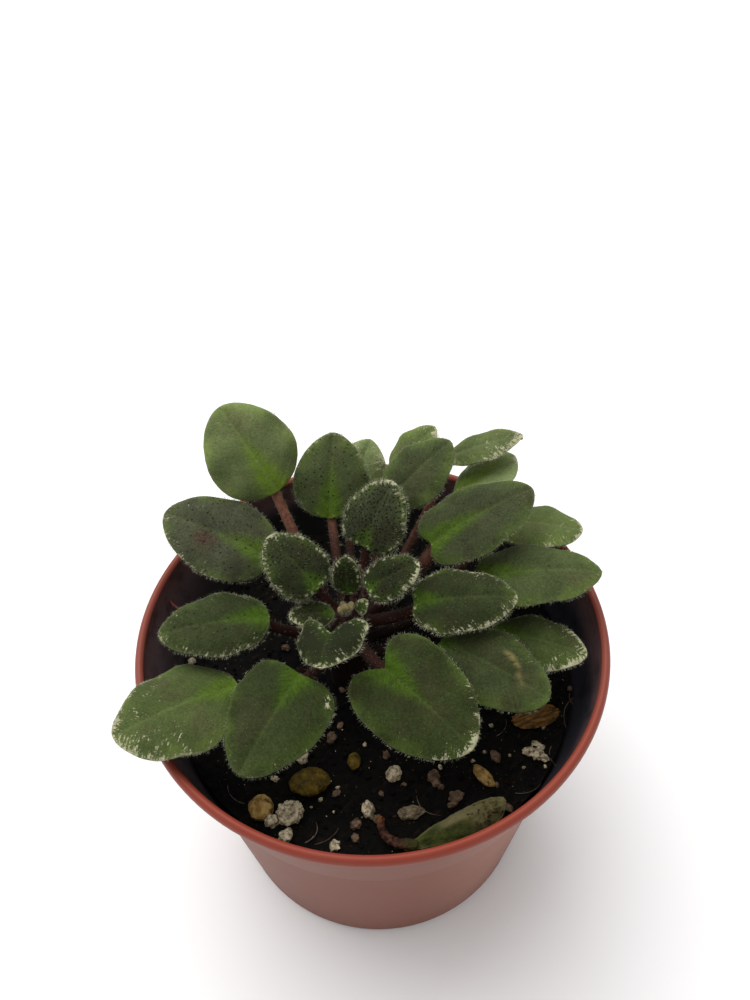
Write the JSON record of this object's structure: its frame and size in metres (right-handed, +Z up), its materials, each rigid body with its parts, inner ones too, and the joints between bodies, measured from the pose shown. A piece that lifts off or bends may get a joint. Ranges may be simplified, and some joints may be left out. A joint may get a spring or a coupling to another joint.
{
  "type": "potted african violet",
  "caption": "Small variegated African violet without flowers, a rosette of cupped leaves on red-brown stalks, in peat in a thin round plastic nursery pot with a rounded lip.",
  "frame": {"origin": "centre of the pot's flat base, on the surface that it stands on", "axes": "+Z up along the pot's axis, -Y towards the side that the picture is taken from, +X to the right there"},
  "size_m": [0.0804, 0.08, 0.0855],
  "materials": {
    "pot": "satin",
    "soil": "matte",
    "stalk": "satin",
    "blade": "matte",
    "young_blade": "matte",
    "bud": "matte",
    "old_leaf": "matte",
    "perlite": "matte",
    "yellow_pebble": "matte",
    "ochre_pebble": "matte",
    "bark": "matte"
  },
  "bodies": {
    "root": {"pot": "pot", "soil": "soil", "crown_and_stalks": "stalk", "leaf_back_left": "blade", "leaf_back": "blade", "leaf_back_low": "blade", "leaf_back_inner": "blade", "leaf_back_right": "blade", "leaf_back_right_low": "blade", "leaf_back_right_far": "blade", "leaf_back_right_under": "blade", "leaf_right_upper": "blade", "leaf_right": "blade", "leaf_right_low": "blade", "leaf_right_inner": "blade", "leaf_right_front_low": "blade", "leaf_front_right": "blade", "leaf_front": "blade", "leaf_front_left": "blade", "leaf_left_front_low": "blade", "leaf_left": "blade", "leaf_left_upper": "blade", "leaf_left_inner": "blade", "leaf_young_back": "young_blade", "leaf_young_right": "young_blade", "leaf_young_left": "young_blade", "leaf_young_front": "young_blade", "growth_bud": "bud", "old_leaf": "old_leaf", "old_leaf_stub": "stalk", "perlite_large": "perlite", "perlite_middle": "perlite", "perlite_small": "perlite", "perlite_long": "perlite", "perlite_flake": "perlite", "pebble_round": "yellow_pebble", "pebble_flat": "ochre_pebble", "pebble_little": "yellow_pebble", "pebble_long": "yellow_pebble", "bark_chip": "bark"}
  },
  "joints": []
}
